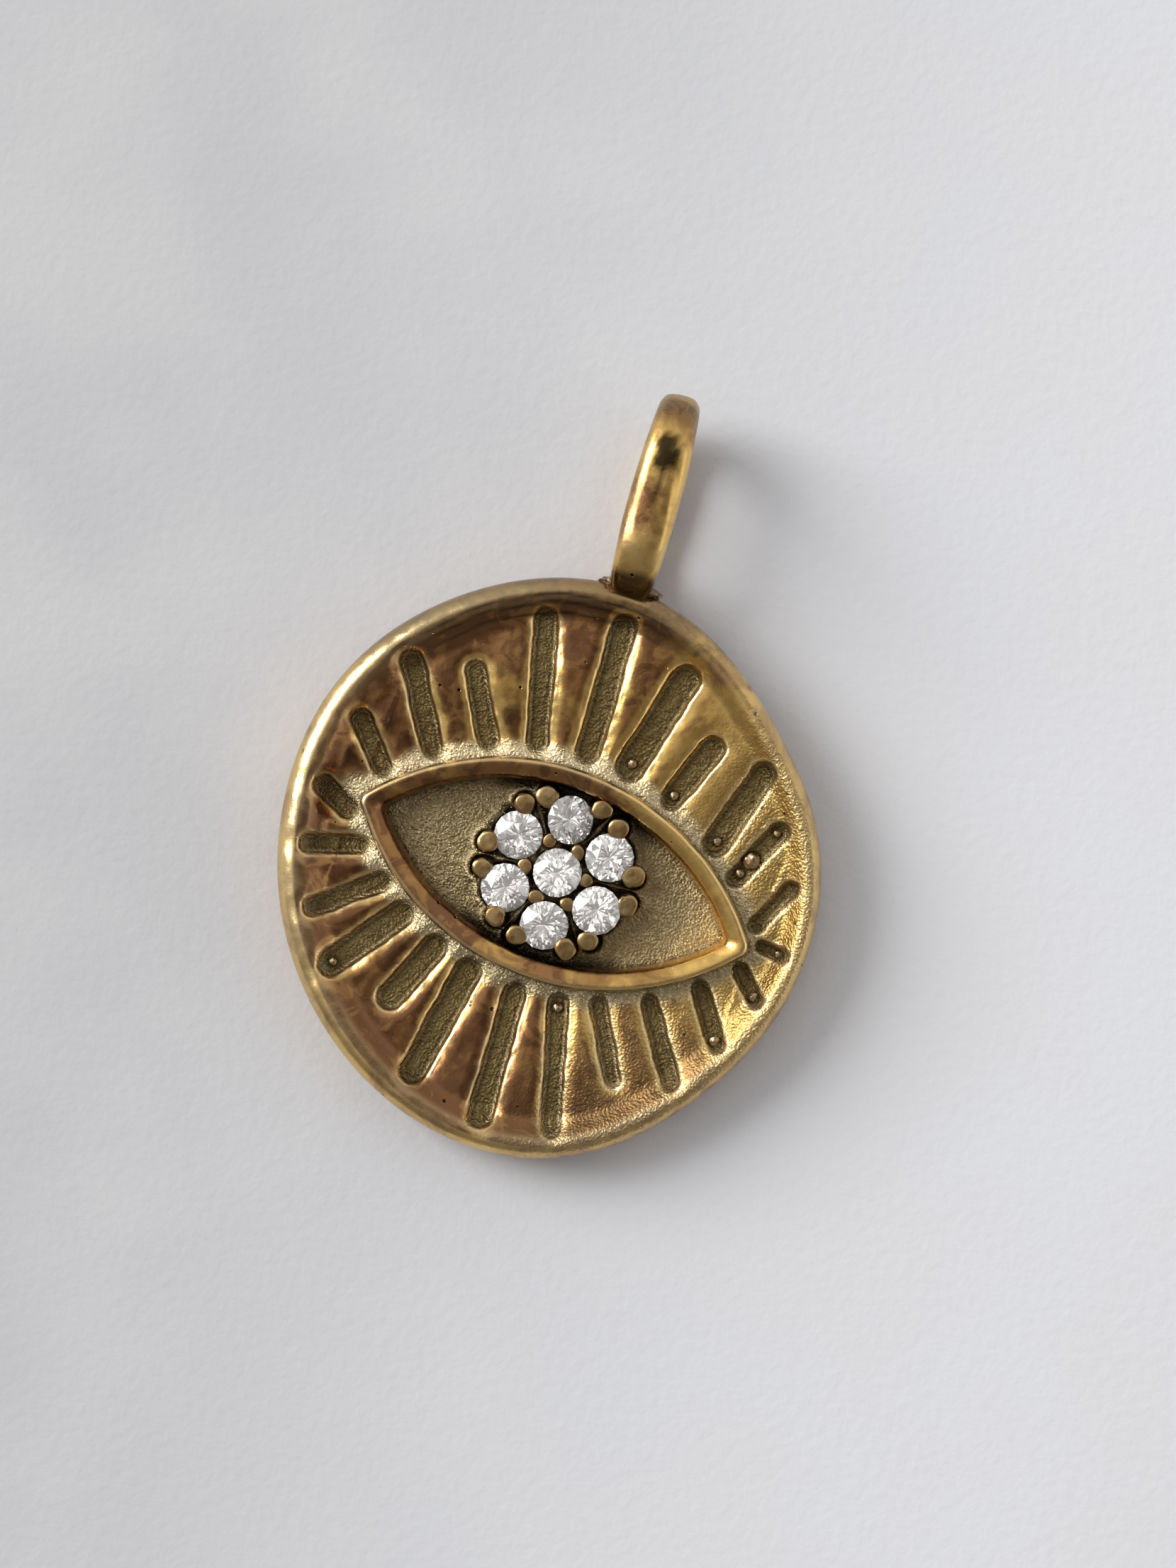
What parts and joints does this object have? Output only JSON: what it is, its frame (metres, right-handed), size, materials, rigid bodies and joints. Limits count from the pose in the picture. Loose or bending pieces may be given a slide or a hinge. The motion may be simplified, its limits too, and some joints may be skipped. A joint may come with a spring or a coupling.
{
  "type": "evil eye charm",
  "caption": "Round cast charm with a raised almond eye, ray grooves and a claw-set stone rosette, hung from an oval bail on its edge.",
  "frame": {"origin": "middle of the medallion's flat back face", "axes": "+Z out of the decorated face, +Y from the middle of the medallion up the middle of the bail, +X to the right of the eye as it is looked at"},
  "size_m": [0.0168, 0.024, 0.0044],
  "materials": {
    "cast_gold": "antiqued gold-coloured cast metal, polished on the high parts and sandblasted matt in the grooves",
    "polished_gold": "polished antiqued gold-coloured metal with fine wear marks",
    "oxidised_gold": "blackened matt metal",
    "solder": "dull reddish gold solder, slightly rough",
    "clear_stone": "clear colourless faceted stone"
  },
  "bodies": {
    "root": {"medallion": "cast_gold", "eye_frame": "polished_gold", "rosette_plate": "oxidised_gold", "outer_claws": "polished_gold", "inner_claws": "polished_gold", "bail": "polished_gold", "bail_solder": "solder", "stone_centre": "clear_stone", "stone_ring_1": "clear_stone", "stone_ring_2": "clear_stone", "stone_ring_3": "clear_stone", "stone_ring_4": "clear_stone", "stone_ring_5": "clear_stone", "stone_ring_6": "clear_stone"}
  },
  "joints": []
}
